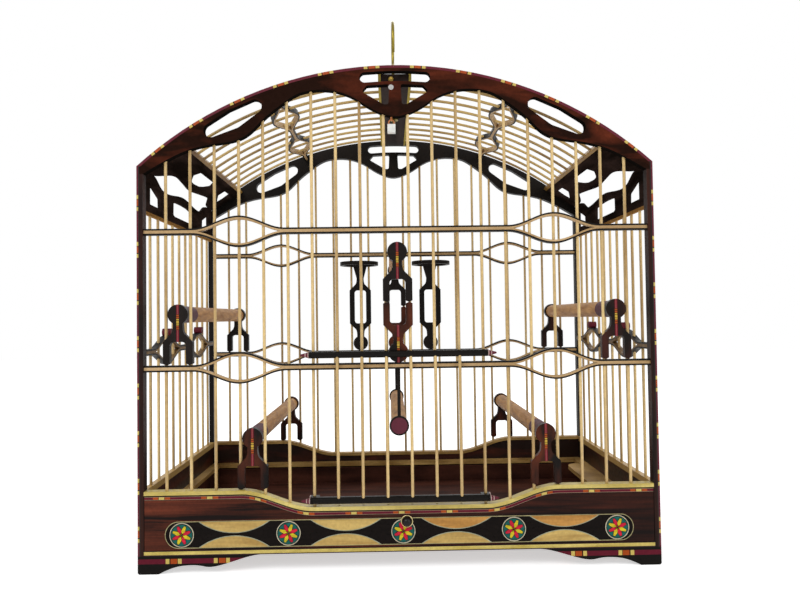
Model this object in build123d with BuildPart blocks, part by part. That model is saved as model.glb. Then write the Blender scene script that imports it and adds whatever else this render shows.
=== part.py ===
from build123d import *
from math import acos, asin, cos, degrees, hypot, pi, sqrt
import os

os.makedirs("parts", exist_ok=True)

# Overall grid and height, in millimetres
pitch = 20.0
bays_wide = 21
bays_deep = 11
height = 413.0
arch_rise = 82.0
post_drop = 6.4
foot_h = 14.5
frame_t = 4.0
base_top = 66.0
base_dip = 14.5

# Sections of the wood and the bars
bar_d = 2.5
post_w = 5.0
post_d = 8.0
board_t = 7.0
side_t = 3.5
base_rail_h = 3.1
rail_h = 5.2
rail_d = 5.0
fret_t = 3.0
band_w = 2.2
band_t = 1.0
ridge_w = 28.0
ridge_t = 6.0
ridge_drop = 5.0
perch_d = 13.5
wire_d = 3.0

# Play between pieces
run = 0.06
slip = 0.5
rest = 0.3
seat = 1.8

# Heights of the rails as shares of the wall between the base and the arch
mid_share = 0.3736
upper_share = 0.7962
side_rail_share = 0.4226

# Places counted in bays from the side, or from the middle bay
upper_perch_bays = 1
lower_perch_bays = 4
guide_bays = 3
cup_bays = 2
side_eye_bays = 3

half_w = bays_wide * pitch / 2
half_d = bays_deep * pitch / 2
outer_w = half_w + post_w / 2
inner_w = half_w - post_w / 2
outer_d = half_d + post_d / 2
inner_d = half_d - post_d / 2
bar_r = bar_d / 2
loose_r = bar_r + run
middle_x = half_w - pitch * (bays_wide // 2) - pitch / 2
upper_x = half_w - pitch * upper_perch_bays - pitch / 2
lower_x = half_w - pitch * lower_perch_bays - pitch / 2
guide_off = pitch * guide_bays + pitch / 2
cup_off = pitch * cup_bays

shoulder_z = height - arch_rise
post_top = shoulder_z - post_drop
bottom_top = foot_h + frame_t
wall_h = shoulder_z - base_top
mid_z = base_top + wall_h * mid_share
upper_z = base_top + wall_h * upper_share
side_rail_z = base_top + wall_h * side_rail_share
mid_top = mid_z + rail_h / 2

front = Plane.XZ.offset(outer_d)
rear = Plane.XZ.offset(-outer_d)
front_bar_y = -half_d
rear_bar_y = half_d
all_bars = [-half_w + pitch * (i + 1) for i in range(bays_wide - 1)]
side_bars = [-half_d + pitch * (i + 1) for i in range(bays_deep - 1)]
through = 2 * height

# Outer arch, and the roof that lies lower than it; the rear arch is set down with the roof
roof_drop = 7.3
rear_drop = 5.0
arch_r = (outer_w ** 2 + arch_rise ** 2) / (2 * arch_rise)
arch_z = height - arch_r
roof_r = arch_r - roof_drop


def on_circle(x, radius):
    return arch_z + sqrt(radius ** 2 - x ** 2)


def save(builder, name):
    builder.part.label = name
    export_step(builder.part, f"parts/{name}.step")


# Arch boards: the lower edge is given as shares of half width and of arch rise
edge_shares = [
    (1.0, 0.0),
    (0.925, 0.104),
    (0.81, 0.228),
    (0.711, 0.275),
    (0.6, 0.34),
    (0.525, 0.5),
    (0.443, 0.654),
    (0.39, 0.733),
    (0.33, 0.768),
    (0.255, 0.766),
    (0.202, 0.735),
    (0.164, 0.695),
    (0.108, 0.61),
    (0.055, 0.548),
    (0.0, 0.518),
]
edge_rise = height - post_top
edge_right = [(inner_w * x, post_top + edge_rise * z) for x, z in edge_shares]
edge_points = edge_right + [(-x, z) for x, z in reversed(edge_right[:-1])]

# Piercings: an arc slot over two windows, and a long slot in each outer lobe
slot_half = 24.9
slot_drop = 9.1
slot_h = 8.6
window_r = 1.7
window_shares = [(0.031, 0.8), (0.107, 0.79), (0.119, 0.757), (0.043, 0.65), (0.034, 0.65)]
lobe_slot_shares = [(0.551, 0.622, 0.066), (0.634, 0.507, 0.092), (0.723, 0.402, 0.066)]
slot_r = arch_r - slot_drop
slot_turn = degrees(asin(slot_half / slot_r))
slot_path = CenterArc((0, arch_z), slot_r, 90 - slot_turn, 2 * slot_turn)

inner_x = outer_w - band_w
inner_z = on_circle(inner_x, arch_r - band_w)
with BuildSketch(front) as band:
    with BuildLine():
        Line((-outer_w, foot_h), (-outer_w, shoulder_z))
        ThreePointArc((-outer_w, shoulder_z), (0, height), (outer_w, shoulder_z))
        Line((outer_w, shoulder_z), (outer_w, foot_h))
        Line((outer_w, foot_h), (inner_x, foot_h))
        Line((inner_x, foot_h), (inner_x, inner_z))
        ThreePointArc((inner_x, inner_z), (0, height - band_w), (-inner_x, inner_z))
        Line((-inner_x, inner_z), (-inner_x, foot_h))
        Line((-inner_x, foot_h), (-outer_w, foot_h))
    make_face()


def arch_board(face, inward, bar_y, drop, banded):
    with BuildPart() as board:
        with BuildSketch(face):
            with BuildLine():
                ThreePointArc((-outer_w, shoulder_z), (0, height), (outer_w, shoulder_z))
                Line((outer_w, shoulder_z), (outer_w, post_top))
                Line((outer_w, post_top), (inner_w, post_top))
                Spline(edge_points)
                Line((-inner_w, post_top), (-outer_w, post_top))
                Line((-outer_w, post_top), (-outer_w, shoulder_z))
            make_face()
            SlotArc(arc=slot_path, height=slot_h, mode=Mode.SUBTRACT)
        extrude(amount=inward)
        for side in (-1, 1):
            with BuildSketch(face):
                for x, z in window_shares:
                    with Locations((side * half_w * x, post_top + edge_rise * z)):
                        Circle(window_r)
                make_hull()
            extrude(amount=inward, mode=Mode.SUBTRACT)
            with BuildSketch(face):
                for x, z, r in lobe_slot_shares:
                    with Locations((side * half_w * x, post_top + edge_rise * z)):
                        Circle(edge_rise * r)
                make_hull()
            extrude(amount=inward, mode=Mode.SUBTRACT)
        for x in all_bars:
            with Locations((x, bar_y, 0)):
                Cylinder(bar_r, 2 * (bar_top(x) - drop), mode=Mode.SUBTRACT)
        if banded:
            extrude(band.sketch, amount=-band_t, mode=Mode.SUBTRACT)
            with Locations((eye_x, eye_y, lobe_z + eye_r / 2)):
                Cylinder(eye_shank, 3 * eye_r, mode=Mode.SUBTRACT)
    return board


def edge_height(x):
    for (x_out, z_out), (x_in, z_in) in zip(edge_right, edge_right[1:]):
        if x_in <= abs(x) <= x_out:
            return z_in + (z_out - z_in) * (abs(x) - x_in) / (x_out - x_in)
    return post_top


def bar_top(x):
    return edge_height(x) + seat


with BuildPart() as arch_banding:
    extrude(band.sketch, amount=-band_t)

# Small metal fittings at the middle of the front arch
eye_x = -3.3
eye_r = 2.2
eye_wire = 0.6
eye_shank = 0.9
tag_w = 6.6
pin_z_share = 0.792
eye_y = -outer_d + board_t / 2
lobe_z = post_top + edge_rise * edge_shares[-1][1]
eye_z = lobe_z - 2 * eye_r
tag_z = eye_z - eye_r + eye_wire / 2 - tag_w / 2
pin_z = post_top + edge_rise * pin_z_share
ridge_top = height - ridge_drop
ridge_z = ridge_top - ridge_t / 2
slot_z = height - slot_drop
rear_low = Plane(origin=(0, outer_d, -rear_drop), x_dir=(1, 0, 0), z_dir=(0, -1, 0))

front_arch = arch_board(front, -board_t, front_bar_y, 0, True)
rear_arch = arch_board(rear_low, board_t, rear_bar_y, rear_drop, False)

with BuildPart() as arch_fittings:
    with Locations((eye_x, eye_y, lobe_z + eye_r / 2)):
        Cylinder(eye_shank, 3 * eye_r, rotation=(0, 0, 45))
    with Locations((eye_x, eye_y, eye_z)):
        Torus(eye_r, eye_wire, rotation=(90, 0, 0))
    with Locations((eye_x, eye_y, tag_z)):
        Box(tag_w, tag_w, tag_w)
    with Locations((eye_x, -outer_d - eye_wire / 2, pin_z)):
        Cone(eye_r, eye_r / 2, eye_wire, rotation=(90, 0, 0))
    with Locations((eye_x, -outer_d + board_t - eye_r / 2, slot_z)):
        Cone(eye_r, eye_r / 2, eye_r, rotation=(90, 0, 0))

# Corner posts


def posts(y, top):
    with BuildPart() as pair:
        with Locations((-half_w, y, (top + foot_h) / 2), (half_w, y, (top + foot_h) / 2)):
            Box(post_w, post_d, top - foot_h)
    return pair


with BuildPart() as posts_front:
    add(posts(front_bar_y, post_top).part)
    extrude(band.sketch, amount=-band_t, mode=Mode.SUBTRACT)
posts_rear = posts(rear_bar_y, post_top - rear_drop)

# Scalloped feet: shares of foot length from the outer end and of foot height
foot_length = 98.6
foot_toe = 1.2
foot_shares = [
    (0.17, 0.0),
    (0.25, 0.25),
    (0.33, 0.41),
    (0.42, 0.47),
    (0.51, 0.435),
    (0.57, 0.36),
    (0.655, 0.414),
    (0.777, 0.64),
    (0.89, 0.87),
    (1.0, 1.0),
]


def feet(face, inward):
    with BuildPart() as pair:
        for side in (-1, 1):
            toe = side * (outer_w - foot_toe)
            curve = [(side * (outer_w - foot_length * x), foot_h * z) for x, z in foot_shares]
            with BuildSketch(face):
                with BuildLine():
                    Line((side * outer_w, foot_h), (side * outer_w, foot_toe))
                    Line((side * outer_w, foot_toe), (toe, 0))
                    Line((toe, 0), curve[0])
                    Spline(curve)
                    Line(curve[-1], (side * outer_w, foot_h))
                make_face()
            extrude(amount=inward)
    return pair


front_feet = feet(front, -post_d)
rear_feet = feet(rear, post_d)

# Bottom frame that carries the tray
runner_w = 12.6
rear_board_in = outer_d - side_t - (post_d - side_t) / 2
with BuildPart() as bottom_frame:
    frame_y = (rear_board_in - outer_d) / 2
    frame_l = rear_board_in + outer_d
    with Locations((0, frame_y, (foot_h + bottom_top) / 2)):
        Box(2 * inner_w, frame_l, frame_t)
        Box(2 * (inner_w - runner_w), frame_l - 2 * runner_w, frame_t, mode=Mode.SUBTRACT)

# Curved base rails: flat at the sides, dipping in the middle
dip_in = guide_off
dip_out = lower_x + pitch / 2
steps = 8


def base_edge(x):
    run_in = min(max((abs(x) - dip_in) / (dip_out - dip_in), 0), 1)
    return base_top - base_dip * (1 + cos(pi * run_in)) / 2


def curved_edge(drop, width, turn):
    curve_x = [dip_in + (dip_out - dip_in) * i / steps for i in range(steps + 1)]
    right = [(x, base_edge(x) - drop) for x in curve_x]
    left = [(-x, z) for x, z in right]
    Line((-width * turn, base_top - drop), left[-1] if turn == 1 else right[-1])
    first = left[::-1] if turn == 1 else right[::-1]
    second = right if turn == 1 else left
    Spline(first, tangents=[(turn, 0), (turn, 0)])
    Line(first[-1], second[0])
    Spline(second, tangents=[(turn, 0), (turn, 0)])
    Line(second[-1], (width * turn, base_top - drop))


def drill(xs, y, radius):
    with Locations(*[(x, y, 0) for x in xs]):
        Cylinder(radius, through, mode=Mode.SUBTRACT)


def base_rail(face, inward, y):
    with BuildPart() as rail:
        with BuildSketch(face):
            with BuildLine():
                curved_edge(0, inner_w, 1)
                Line((inner_w, base_top), (inner_w, base_top - base_rail_h))
                curved_edge(base_rail_h, inner_w, -1)
                Line((-inner_w, base_top - base_rail_h), (-inner_w, base_top))
            make_face()
        extrude(amount=inward)
        for x in all_bars:
            with Locations((x, y, base_edge(x) - seat + height)):
                Cylinder(bar_r, through, mode=Mode.SUBTRACT)
    return rail


base_rail_front = base_rail(front, -post_d, front_bar_y)
base_rail_rear = base_rail(rear, post_d, rear_bar_y)


def low_panel(face, inward, width, floor, drop):
    with BuildPart() as panel:
        with BuildSketch(face):
            with BuildLine():
                curved_edge(drop, width, 1)
                Line((width, base_top - drop), (width, floor))
                Line((width, floor), (-width, floor))
                Line((-width, floor), (-width, base_top - drop))
            make_face()
        extrude(amount=inward)
    return panel


rear_inset = (post_d - side_t) / 2
with BuildPart() as rear_board:
    add(low_panel(Plane.XZ.offset(-outer_d + rear_inset), side_t, inner_w, foot_h, base_rail_h).part)
    add(base_rail_rear.part, mode=Mode.SUBTRACT)

# Base sides: a board with a light rail on top
with BuildPart() as base_side_right:
    board_h = base_top - rail_h - foot_h
    with Locations((half_w, 0, foot_h + board_h / 2)):
        Box(side_t, 2 * inner_d, board_h)
    with Locations((half_w, 0, base_top - rail_h / 2)):
        Box(post_w, 2 * inner_d, rail_h)
    with Locations(*[(half_w, y, base_top + height - seat) for y in side_bars]):
        Cylinder(bar_r, through, mode=Mode.SUBTRACT)
with BuildPart() as base_side_left:
    mirror(base_side_right.part, about=Plane.YZ)

# Ledges above the tray along three walls
ledge_z = 38.0
ledge_t = 4.0
ledge_w = 8.3
wide_w = 24.0
wide_end_share = 0.58
wide_end = half_d * wide_end_share
wall_x = half_w - side_t / 2
with BuildPart() as ledge_frame:
    with BuildSketch(Plane.XY.offset(ledge_z)):
        with Locations((0, rear_board_in - ledge_w / 2)):
            Rectangle(2 * inner_w, ledge_w)
        for side in (-1, 1):
            with Locations((side * (wall_x - ledge_w / 2), 0)):
                Rectangle(ledge_w, 2 * inner_d)
        with Locations((wall_x - wide_w / 2, (wide_end - inner_d) / 2)):
            Rectangle(wide_w, wide_end + inner_d)
        with Locations((wall_x - wide_w / 2, wide_end)):
            Circle(wide_w / 2)
    extrude(amount=ledge_t)

# Rails that split into lens-shaped eyes
eye_half = 38.0
eye_rise = 12.9
arm_t = 2.9
hump = eye_rise - rail_h / 2


def eye_edge(offset):
    return rail_h / 2 + hump * (1 + cos(pi * offset / eye_half)) / 2


open_half = eye_half / pi * acos(2 * (arm_t - rail_h / 2) / hump - 1)


def lens(centre, reach, inset, z):
    offsets = [reach * (2 * i / (2 * steps) - 1) for i in range(2 * steps + 1)]
    top = [(centre + u, z + eye_edge(u) - inset) for u in offsets]
    low = [(centre + u, z - eye_edge(u) + inset) for u in reversed(offsets)]
    Spline(top)
    if hypot(top[-1][0] - low[0][0], top[-1][1] - low[0][1]) > run:
        Line(top[-1], low[0])
        Spline(low)
        Line(low[-1], top[0])
    else:
        Spline([top[-1]] + low[1:-1] + [top[0]])


def eye_rail(face, inward, half_length, centres, z):
    with BuildPart() as rail:
        with BuildSketch(face):
            with Locations((0, z)):
                Rectangle(2 * half_length, rail_h)
            for centre in centres:
                with BuildLine():
                    lens(centre, eye_half, 0, z)
                make_face()
            for centre in centres:
                with BuildLine():
                    lens(centre, open_half, arm_t, z)
                make_face(mode=Mode.SUBTRACT)
        extrude(amount=inward)
    return rail


front_eyes = (-dip_out, dip_out)
side_eye_y = half_d - pitch * side_eye_bays
side_eyes = (-side_eye_y, side_eye_y)
rail_front = Plane.XZ.offset(half_d + rail_d / 2)
rail_rear = Plane.XZ.offset(-half_d + rail_d / 2)
door_bars_x = [x for x in all_bars if abs(x - middle_x) < guide_off - pitch / 2]
fixed_bars_x = [x for x in all_bars if x not in door_bars_x]


def drilled_rail(face, z, y, through_bars, seated_bars):
    with BuildPart() as rail:
        add(eye_rail(face, -rail_d, inner_w, front_eyes, z).part)
        drill(through_bars, y, bar_r)
        for x in seated_bars:
            with Locations((x, y, z + height)):
                Cylinder(bar_r, through, mode=Mode.SUBTRACT)
    return rail


mid_rail_front = drilled_rail(rail_front, mid_z, front_bar_y, fixed_bars_x, door_bars_x)
mid_rail_rear = drilled_rail(rail_rear, mid_z, rear_bar_y, all_bars, [])
upper_rail_front = drilled_rail(rail_front, upper_z, front_bar_y, all_bars, [])
upper_rail_rear = drilled_rail(rail_rear, upper_z, rear_bar_y, all_bars, [])

# Side rails with a turned bead above each eye
bead_d = 7.0
bead_l = 8.0
bead_sink = 0.6
bead_z = side_rail_z + eye_rise + bead_d / 2 - bead_sink
with BuildPart() as side_rail_right:
    add(eye_rail(Plane.YZ.offset(half_w - rail_d / 2), rail_d, inner_d, side_eyes, side_rail_z).part)
    with Locations(*[(half_w + (rail_d - bead_l) / 2, y, bead_z) for y in side_eyes]):
        Cylinder(bead_d / 2, bead_l, rotation=(0, 90, 0))
    with Locations(*[(half_w, y, 0) for y in side_bars]):
        Cylinder(bar_r, through, mode=Mode.SUBTRACT)
with BuildPart() as side_rail_left:
    mirror(side_rail_right.part, about=Plane.YZ)

# Eave line: corner under the shoulder, and foot of the roof bars on the roof circle
eave_w = 33.0
corner_drop = 1.5
fret_h = 36.0
strip_w = 3.4
strip_t = 4.5
eave_x = half_w - eave_w
corner = (half_w, shoulder_z - corner_drop)
foot = (eave_x, on_circle(eave_x, roof_r))
eave_h = hypot(corner[0] - foot[0], foot[1] - corner[1])
slope_x = (foot[0] - corner[0]) / eave_h
slope_z = (foot[1] - corner[1]) / eave_h
eave_plane = Plane(origin=(corner[0], 0, corner[1]), x_dir=(0, 1, 0), z_dir=(slope_z, 0, -slope_x))
side_plane = Plane(origin=(half_w, 0, corner[1]), x_dir=(0, 1, 0), z_dir=(-1, 0, 0))
fret_bottom = corner[1] - fret_h
roof_half = outer_d - board_t

# Roof bars: arcs from the ridge to the eave strip
bar_start = asin((ridge_w / 2 - seat) / roof_r)
bar_end = asin((eave_x + slope_x * (strip_w - seat)) / roof_r)
start_x = ridge_w / 2 - seat
start_z = on_circle(start_x, roof_r)
tangent = ((arch_z - start_z) / roof_r, 0, start_x / roof_r)
with BuildPart() as roof_bars_right:
    for y in side_bars:
        with BuildSketch(Plane(origin=(start_x, y, start_z), x_dir=(0, 1, 0), z_dir=tangent)):
            Circle(bar_r)
        revolve(axis=Axis((0, y, arch_z), (0, 1, 0)), revolution_arc=degrees(bar_end - bar_start))
with BuildPart() as roof_bars_left:
    mirror(roof_bars_right.part, about=Plane.YZ)

# Fretwork panels: a waved edge at the corner, and three openings with soft corners
corner_gap = 1.6
opening_r = 1.2
eave_edge_shares = [
    (0.0, 0.185), (0.19, 0.227), (0.375, 0.278), (0.515, 0.296),
    (0.61, 0.245), (0.68, 0.16), (0.79, 0.04),
]
eave_mid_shares = [(0.0, 0.418), (0.135, 0.44), (0.205, 0.5), (0.275, 0.61), (0.24, 0.73)]
eave_end_shares = [
    (0.64, 0.73), (0.64, 0.572), (0.71, 0.495), (0.8, 0.42),
    (0.875, 0.315), (0.885, 0.5), (0.865, 0.73),
]
side_edge_shares = [
    (0.0, 0.13), (0.19, 0.175), (0.42, 0.252), (0.54, 0.25),
    (0.62, 0.197), (0.7, 0.08), (0.78, 0.0),
]
side_mid_shares = [(0.0, 0.375), (0.15, 0.385), (0.275, 0.425), (0.28, 0.69), (0.255, 0.715)]
side_end_shares = [
    (0.635, 0.7), (0.64, 0.5), (0.69, 0.465), (0.76, 0.39),
    (0.84, 0.285), (0.866, 0.26), (0.87, 0.7),
]


def mirrored(shares):
    return [(-u, v) for u, v in shares]


def fret(face, half_length, reach, start, edge_places, middle, ends):
    places = mirrored(edge_places[:0:-1]) + edge_places
    low = [(half_length * u, max(reach * v, start)) for u, v in places]
    with BuildPart() as panel:
        with BuildSketch(face):
            with BuildLine():
                Spline(low)
                Polyline(low[-1], (half_length, start), (half_length, reach))
                Polyline((half_length, reach), (-half_length, reach), (-half_length, start), low[0])
            make_face()
        extrude(amount=fret_t / 2, both=True)
        for opening in (middle + mirrored(middle), ends, mirrored(ends)):
            with BuildSketch(face):
                for u, v in opening:
                    with Locations((half_length * u, reach * v)):
                        Circle(opening_r)
                make_hull()
            extrude(amount=fret_t / 2, both=True, mode=Mode.SUBTRACT)
    return panel


eave_panel_right = fret(
    eave_plane, roof_half, eave_h, corner_gap, eave_edge_shares, eave_mid_shares, eave_end_shares
)
with BuildPart() as side_fret_right:
    add(fret(side_plane, inner_d, fret_h, 0, side_edge_shares, side_mid_shares, side_end_shares).part)
    with Locations(*[(half_w, y, fret_bottom + seat - height) for y in side_bars]):
        Cylinder(bar_r, through, mode=Mode.SUBTRACT)
with BuildPart() as roof_strip_right:
    with BuildSketch(eave_plane):
        with Locations((0, eave_h + strip_w / 2)):
            Rectangle(2 * roof_half, strip_w)
    extrude(amount=strip_t / 2, both=True)
    add(roof_bars_right.part, mode=Mode.SUBTRACT)
with BuildPart() as eave_panel_left:
    mirror(eave_panel_right.part, about=Plane.YZ)
with BuildPart() as side_fret_left:
    mirror(side_fret_right.part, about=Plane.YZ)
with BuildPart() as roof_strip_left:
    mirror(roof_strip_right.part, about=Plane.YZ)

# Roof rails with eyes, lying along the slope
rail_x = 100.0
rail_n = (rail_x / roof_r, (on_circle(rail_x, roof_r) - arch_z) / roof_r)
rail_base = roof_r - rail_d / 2
roof_rail_plane = Plane(
    origin=(rail_n[0] * rail_base, 0, arch_z + rail_n[1] * rail_base),
    x_dir=(0, 1, 0),
    z_dir=(rail_n[0], 0, rail_n[1]),
)
with BuildPart() as roof_rail_right:
    add(eye_rail(roof_rail_plane, rail_d, roof_half, side_eyes, 0).part)
    add(roof_bars_right.part, mode=Mode.SUBTRACT)
with BuildPart() as roof_rail_left:
    mirror(roof_rail_right.part, about=Plane.YZ)

# Ridge board with its bore for the hanging hook
wire_r = wire_d / 2
with BuildPart() as ridge_board:
    with Locations((0, 0, ridge_z)):
        Box(ridge_w, 2 * roof_half, ridge_t)
        Cylinder(wire_r + run, through, mode=Mode.SUBTRACT)
    add(roof_bars_right.part, mode=Mode.SUBTRACT)
    add(roof_bars_left.part, mode=Mode.SUBTRACT)


# Straight bars
def bar(x, y, low, high):
    with Locations((x, y, (low + high) / 2)):
        Cylinder(bar_r, high - low)


with BuildPart() as front_bars_left:
    for x in fixed_bars_x:
        if x < middle_x:
            bar(x, front_bar_y, base_edge(x) - seat, bar_top(x))
with BuildPart() as front_bars_right:
    for x in fixed_bars_x:
        if x > middle_x:
            bar(x, front_bar_y, base_edge(x) - seat, bar_top(x))
with BuildPart() as front_bars_over_door:
    for x in door_bars_x:
        bar(x, front_bar_y, mid_z, bar_top(x))
with BuildPart() as rear_bars:
    for x in all_bars:
        bar(x, rear_bar_y, base_edge(x) - seat, bar_top(x) - rear_drop)
with BuildPart() as right_bars:
    for y in side_bars:
        bar(half_w, y, base_top - seat, fret_bottom + seat)
with BuildPart() as left_bars:
    for y in side_bars:
        bar(-half_w, y, base_top - seat, fret_bottom + seat)

# Forks: a wishbone plate threaded on two neighbouring bars
fork_gap = 3.8
leg_w = 5.6
leg_wall = 0.9
leg_tip = 1.2
window_corner = 3.2
head_r = 8.2
neck_r = 4.0
waist = 5.8
shoulder_h_share = 0.381
neck_h_share = 0.66
soft_share = sqrt(2) / 2
fork_h = (upper_z - mid_z - rail_h) / 2 - fork_gap
leg_out = pitch / 2 + bar_r + leg_wall
leg_in = leg_out - leg_w
leg_mid = (leg_out + leg_in) / 2
fork_shoulder = fork_h * shoulder_h_share
waist_z = fork_shoulder + leg_out - waist
neck_z = fork_h * neck_h_share
head_z = fork_h - head_r
perch_r = perch_d / 2
perch_l = 2 * half_d - rail_d


def fork_lines(x, z, up, tip):
    def at(u, v):
        return (x + u, z + up * v)

    arch_in = leg_in - window_corner
    soft_in = arch_in + window_corner * soft_share
    soft_z = fork_shoulder - window_corner + window_corner * soft_share
    Polyline(at(-leg_in, fork_shoulder - window_corner), at(-leg_in, tip), at(-leg_mid, 0), at(-leg_out, tip))
    Polyline(at(-leg_out, tip), at(-leg_out, fork_shoulder), at(-waist, waist_z))
    Spline(at(-waist, waist_z), at(-neck_r, neck_z), tangents=[(1, up), (0, up)])
    Polyline(at(-neck_r, neck_z), at(-neck_r, head_z), at(neck_r, head_z), at(neck_r, neck_z))
    Spline(at(neck_r, neck_z), at(waist, waist_z), tangents=[(0, -up), (1, -up)])
    Polyline(at(waist, waist_z), at(leg_out, fork_shoulder), at(leg_out, tip))
    Polyline(at(leg_out, tip), at(leg_mid, 0), at(leg_in, tip), at(leg_in, fork_shoulder - window_corner))
    ThreePointArc(at(leg_in, fork_shoulder - window_corner), at(soft_in, soft_z), at(arch_in, fork_shoulder))
    Line(at(arch_in, fork_shoulder), at(-arch_in, fork_shoulder))
    ThreePointArc(at(-arch_in, fork_shoulder), at(-soft_in, soft_z),
                  at(-leg_in, fork_shoulder - window_corner))


def fork_plates(x, ups, faces, tip):
    with BuildPart() as plates:
        for face in faces:
            for up, foot_z in ups:
                with BuildSketch(face):
                    with BuildLine():
                        fork_lines(x, foot_z, up, tip)
                    make_face()
                    with Locations((x, foot_z + up * head_z)):
                        Circle(head_r)
                extrude(amount=-rail_d)
        for y in (front_bar_y, rear_bar_y):
            drill((x - pitch / 2, x + pitch / 2), y, loose_r)
    return plates


ferrule_l = 30.0
ferrule_t = 0.25


def perch(x, z):
    with BuildPart() as rod:
        with Locations((x, 0, z)):
            Cylinder(perch_r, perch_l, rotation=(90, 0, 0))
        with Locations((x, (ferrule_l - perch_l) / 2, z)):
            Cylinder(perch_r + ferrule_t, ferrule_l, rotation=(90, 0, 0))
    return rod


both_faces = (rail_front, rail_rear)
turn_z = mid_top + fork_h
upper_forks_right = fork_plates(upper_x, [(1, mid_top + rest)], both_faces, leg_tip)
upper_perch_right = perch(upper_x, mid_top + rest + head_z)
lower_forks_right = fork_plates(lower_x, [(1, base_top + rest)], both_faces, leg_tip)
lower_perch_right = perch(lower_x, base_top + rest + head_z)
upper_forks_left = fork_plates(-upper_x, [(1, mid_top + rest)], both_faces, leg_tip)
upper_perch_left = perch(-upper_x, mid_top + rest + head_z)
lower_forks_left = fork_plates(-lower_x, [(1, base_top + rest)], both_faces, leg_tip)
lower_perch_left = perch(-lower_x, base_top + rest + head_z)

# Middle of the cage: inverted forks for the swing, upright forks for the high perch
swing_l = 60.8
pin_r = 1.4
pin_l = 3.5
pivot_z = turn_z - head_z
swing_z = pivot_z - swing_l
centre_forks = fork_plates(middle_x, [(1, turn_z)], both_faces, leg_tip)
centre_perch = perch(middle_x, turn_z + head_z)
with BuildPart() as swing_forks:
    add(fork_plates(middle_x, [(-1, turn_z)], both_faces, leg_tip).part)
    for side in (-1, 1):
        with Locations((middle_x, side * (perch_l - pin_l) / 2, pivot_z)):
            Cylinder(pin_r, pin_l, rotation=(90, 0, 0))

hanger_w = 2.7
hanger_t = 2.5
pin_wall = 1.35
hanger_ring = perch_r + hanger_w / 2
with BuildPart() as swing_hangers:
    for side in (-1, 1):
        hang_y = side * (perch_l / 2 - slip)
        with BuildSketch(Plane.XZ.offset(-hang_y)):
            with Locations((middle_x, (pivot_z + swing_z) / 2)):
                Rectangle(hanger_w, swing_l)
            with Locations((middle_x, pivot_z)):
                Circle(pin_r + pin_wall)
            with Locations((middle_x, swing_z)):
                Circle(hanger_ring)
                Circle(perch_r, mode=Mode.SUBTRACT)
            with Locations((middle_x, pivot_z)):
                Circle(pin_r + run, mode=Mode.SUBTRACT)
        extrude(amount=side * hanger_t)
with BuildPart() as swing_perch:
    with Locations((middle_x, 0, swing_z)):
        Cylinder(perch_r, perch_l - 2 * slip, rotation=(90, 0, 0))

# Cup holders: a double fork on the rear bars with a level ring on its head
ring_bore_d = 35.0
ring_wall = 3.7
ring_t = 4.0
flare_w = 15.0
ring_r = ring_bore_d / 2
ring_out = ring_r + ring_wall
ring_low = turn_z + fork_h - ring_t
ring_reach = sqrt(ring_out ** 2 - (pitch / 2 - bar_r) ** 2)
ring_y = half_d - bar_r - slip - ring_reach


def cup_holder(x):
    with BuildPart() as holder:
        add(fork_plates(x, [(-1, turn_z)], (rail_rear,), 0).part)
        with BuildSketch(rail_rear):
            with BuildLine():
                fork_lines(x, turn_z, 1, 0)
            make_face()
            with BuildLine():
                neck = [(x - neck_r, turn_z + neck_z), (x + neck_r, turn_z + neck_z)]
                Polyline(neck + [(x + flare_w / 2, ring_low), (x - flare_w / 2, ring_low)], close=True)
            make_face()
        extrude(amount=-rail_d)
        drill((x - pitch / 2, x + pitch / 2), rear_bar_y, loose_r)
        with Locations((x, ring_y, ring_low + ring_t / 2)):
            Cylinder(ring_out, ring_t)
            Cylinder(ring_r, ring_t, mode=Mode.SUBTRACT)
    return holder


cup_holder_left = cup_holder(middle_x - cup_off)
cup_holder_right = cup_holder(middle_x + cup_off)

# Sliding door in front of the fixed bars
door_h = 5.5
door_flat = 1.65
door_seat = 2.7
door_lift = 9.7
door_over = 2.0
tip_l = 8.0
guide_w = 8.0
tip_end_share = 0.25
door_bar_share = 0.33
door_back = half_d + rail_d / 2 + slip + run
door_nose = door_h / 2
door_low = base_top - base_dip + door_seat + door_h / 2
door_high = mid_z + door_lift
door_half = guide_off + door_over
door_bar_y = -(door_back + door_flat + door_nose * door_bar_share)
with BuildPart() as door_rails:
    for z in (door_low, door_high):
        with BuildSketch(Plane.YZ.offset(middle_x - door_half)):
            with BuildLine():
                Line((-door_back, z - door_nose), (-door_back - door_flat, z - door_nose))
                ThreePointArc(
                    (-door_back - door_flat, z - door_nose),
                    (-door_back - door_flat - door_nose, z),
                    (-door_back - door_flat, z + door_nose),
                )
                Line((-door_back - door_flat, z + door_nose), (-door_back, z + door_nose))
                Line((-door_back, z + door_nose), (-door_back, z - door_nose))
            make_face()
        extrude(amount=2 * door_half)
        for side in (-1, 1):
            with Locations((middle_x + side * guide_off, -(door_back + half_d - rail_d / 2) / 2, z)):
                Box(guide_w, door_back - half_d + rail_d / 2, door_h)
            with Locations((middle_x + side * (door_half + tip_l / 2), -door_back - door_nose, z)):
                Cone(door_nose, door_nose * tip_end_share, tip_l, rotation=(0, side * 90, 0))
    drill((middle_x - guide_off, middle_x + guide_off), front_bar_y, loose_r)
    with Locations(*[(x, door_bar_y, (door_low + door_high) / 2) for x in door_bars_x]):
        Cylinder(bar_r, door_high - door_low, mode=Mode.SUBTRACT)
with BuildPart() as door_bars:
    for x in door_bars_x:
        bar(x, door_bar_y, door_low, door_high)

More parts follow.
